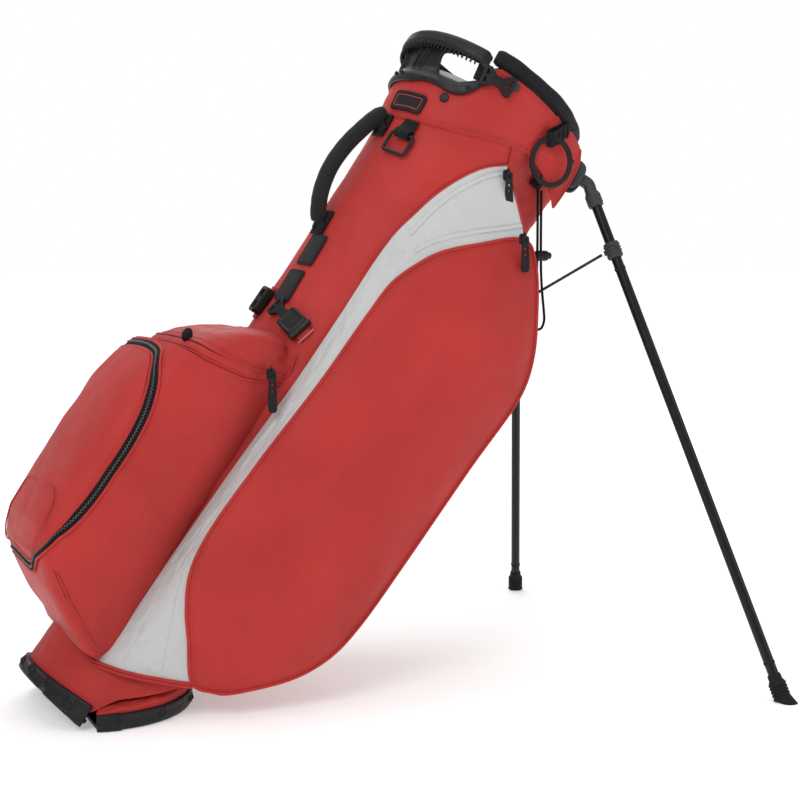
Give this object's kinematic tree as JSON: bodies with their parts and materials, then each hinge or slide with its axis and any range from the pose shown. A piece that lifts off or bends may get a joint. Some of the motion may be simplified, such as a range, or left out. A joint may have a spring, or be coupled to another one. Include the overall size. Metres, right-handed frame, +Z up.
{
  "type": "golf stand bag",
  "caption": "Leaning golf stand bag with fold-out legs, tilting base plate, divided mouth, side, ball and cooler pockets, carry handle and towel ring.",
  "frame": {"origin": "point of the base plate's flat ground face, 60 mm ahead of the base hinge line, on the bag's middle plane", "axes": "+Z up, +X horizontal towards the open legs, +Y the bag's left side"},
  "size_m": [0.8289, 0.6756, 0.7901],
  "materials": {
    "shell_fabric": "matte coated woven polyester, slight sheen",
    "panel_fabric": "smooth light grey woven polyester",
    "lining": "silver grey lining",
    "webbing": "black woven webbing",
    "foam": "black fabric over foam, matte",
    "black_plastic": "black moulded plastic, fine grain",
    "graphite_plastic": "dark grey moulded plastic",
    "rubber": "black moulded rubber",
    "leg_paint": "black anodised tube, satin",
    "steel": "bright steel"
  },
  "bodies": {
    "root": {"base_boot": "black_plastic", "wall_front": "shell_fabric", "wall_left": "shell_fabric", "wall_spine": "shell_fabric", "wall_right": "shell_fabric", "stay_left": "steel", "stay_right": "steel", "cuff_frame": "graphite_plastic", "cuff_cover": "shell_fabric", "cuff_lining": "lining", "rim_pad": "webbing", "divider": "webbing", "rear_handle": "black_plastic", "badge_plate": "black_plastic", "snap_rear": "steel", "hood_buckle": "black_plastic", "strap_ring_tab": "webbing", "towel_ring_tab": "webbing", "leg_bracket": "graphite_plastic", "leg_right_pin": "steel", "leg_left_pin": "steel", "rod_guide_lower": "black_plastic", "rod_guide_upper": "black_plastic", "side_pocket_right": "shell_fabric", "side_pocket_left": "shell_fabric", "side_panel_right": "panel_fabric", "side_panel_left": "panel_fabric", "ball_pocket": "shell_fabric", "cooler_pocket": "shell_fabric", "ball_zip_right": "webbing", "carry_handle": "foam", "handle_anchor_upper": "webbing", "handle_anchor_lower": "webbing", "strap_patch_upper": "webbing", "strap_patch_lower": "webbing", "strap_buckle_side": "black_plastic", "strap_buckle_spine": "black_plastic", "elastic_cord": "webbing", "cord_tab": "webbing", "base_hinge_pin": "steel"},
    "base_plate": {"base_plate": "black_plastic"},
    "leg_right": {"leg_right_knuckle": "graphite_plastic", "leg_right_tube": "leg_paint", "leg_right_collar": "graphite_plastic", "leg_right_foot": "rubber"},
    "leg_left": {"leg_left_knuckle": "graphite_plastic", "leg_left_tube": "leg_paint", "leg_left_collar": "graphite_plastic", "leg_left_foot": "rubber"},
    "push_rod": {"push_rod": "steel", "crosshead": "graphite_plastic"},
    "wire_right": {"spreader_wire_right": "steel"},
    "wire_left": {"spreader_wire_left": "steel"},
    "towel_ring": {"towel_ring": "black_plastic"},
    "strap_ring": {"strap_ring": "black_plastic"},
    "pull_valuables": {"pull_valuables": "rubber"},
    "pull_apparel": {"pull_apparel": "rubber"},
    "pull_cooler": {"pull_cooler": "rubber"},
    "cord_lock": {"cord_lock": "black_plastic"},
    "cord_lock_button": {"cord_lock_button": "black_plastic"}
  },
  "joints": [
    {"name": "leg_right_fold", "type": "hinge", "parent": "root", "child": "leg_right", "pos_m": [0.55878, -0.08187, 0.6136], "axis": [0.3782, 0.8876, -0.2628], "range_deg": [0, 50.42]},
    {"name": "leg_left_fold", "type": "hinge", "parent": "root", "child": "leg_left", "pos_m": [0.55878, 0.08187, 0.6136], "axis": [-0.3782, 0.8876, 0.2628], "range_deg": [0, 50.42]},
    {"name": "base_plate_tilt", "type": "hinge", "parent": "root", "child": "base_plate", "pos_m": [-0.06, 0, 0.004], "axis": [0, 1, 0], "range_deg": [0, 34.8]},
    {"name": "push_rod_slide", "type": "slide", "parent": "root", "child": "push_rod", "axis": [-0.5707, 0, -0.8211], "range_m": [0, 0.06871]},
    {"name": "wire_right_swing", "type": "hinge", "parent": "push_rod", "child": "wire_right", "pos_m": [0.36822, -0.012, 0.37704], "axis": [-0.5142, -0.8443, 0.1509], "range_deg": [0, 17.84]},
    {"name": "wire_left_swing", "type": "hinge", "parent": "push_rod", "child": "wire_left", "pos_m": [0.36822, 0.012, 0.37704], "axis": [0.5142, -0.8443, -0.1509], "range_deg": [0, 17.84]},
    {"name": "towel_ring_swing", "type": "hinge", "parent": "root", "child": "towel_ring", "pos_m": [0.51343, -0.1074, 0.65608], "axis": [-0.946, 0.324, 0], "range_deg": [0, 90]},
    {"name": "strap_ring_lift", "type": "hinge", "parent": "root", "child": "strap_ring", "pos_m": [0.34003, -0.05796, 0.65847], "axis": [-0.4592, 0.829, 0.3191], "range_deg": [0, 120]},
    {"name": "pull_valuables_swing", "type": "hinge", "parent": "root", "child": "pull_valuables", "pos_m": [0.45567, -0.1055, 0.60975], "axis": [0, 1, 0], "range_deg": [-40, 40]},
    {"name": "pull_apparel_swing", "type": "hinge", "parent": "root", "child": "pull_apparel", "pos_m": [0.46109, -0.137, 0.53414], "axis": [0, 1, 0], "range_deg": [-40, 40]},
    {"name": "pull_cooler_swing", "type": "hinge", "parent": "root", "child": "pull_cooler", "pos_m": [0.15446, -0.1125, 0.38313], "axis": [0, 1, 0], "range_deg": [-40, 40]},
    {"name": "cord_lock_slide", "type": "slide", "parent": "root", "child": "cord_lock", "axis": [0, 0, 1], "range_m": [-0.012, 0.045]},
    {"name": "cord_lock_press", "type": "slide", "parent": "cord_lock", "child": "cord_lock_button", "axis": [-1, 0, 0], "range_m": [0, 0.002], "stiffness_N_per_m": 400}
  ],
  "couplings": [
    {"joint": "leg_left_fold", "follows": "leg_right_fold", "ratio": 1},
    {"joint": "base_plate_tilt", "follows": "leg_right_fold", "ratio": 0.68998},
    {"joint": "push_rod_slide", "follows": "leg_right_fold", "m_per_rad": 0.078067},
    {"joint": "wire_right_swing", "follows": "leg_right_fold", "ratio": 0.35375},
    {"joint": "wire_left_swing", "follows": "leg_right_fold", "ratio": 0.35375}
  ]
}
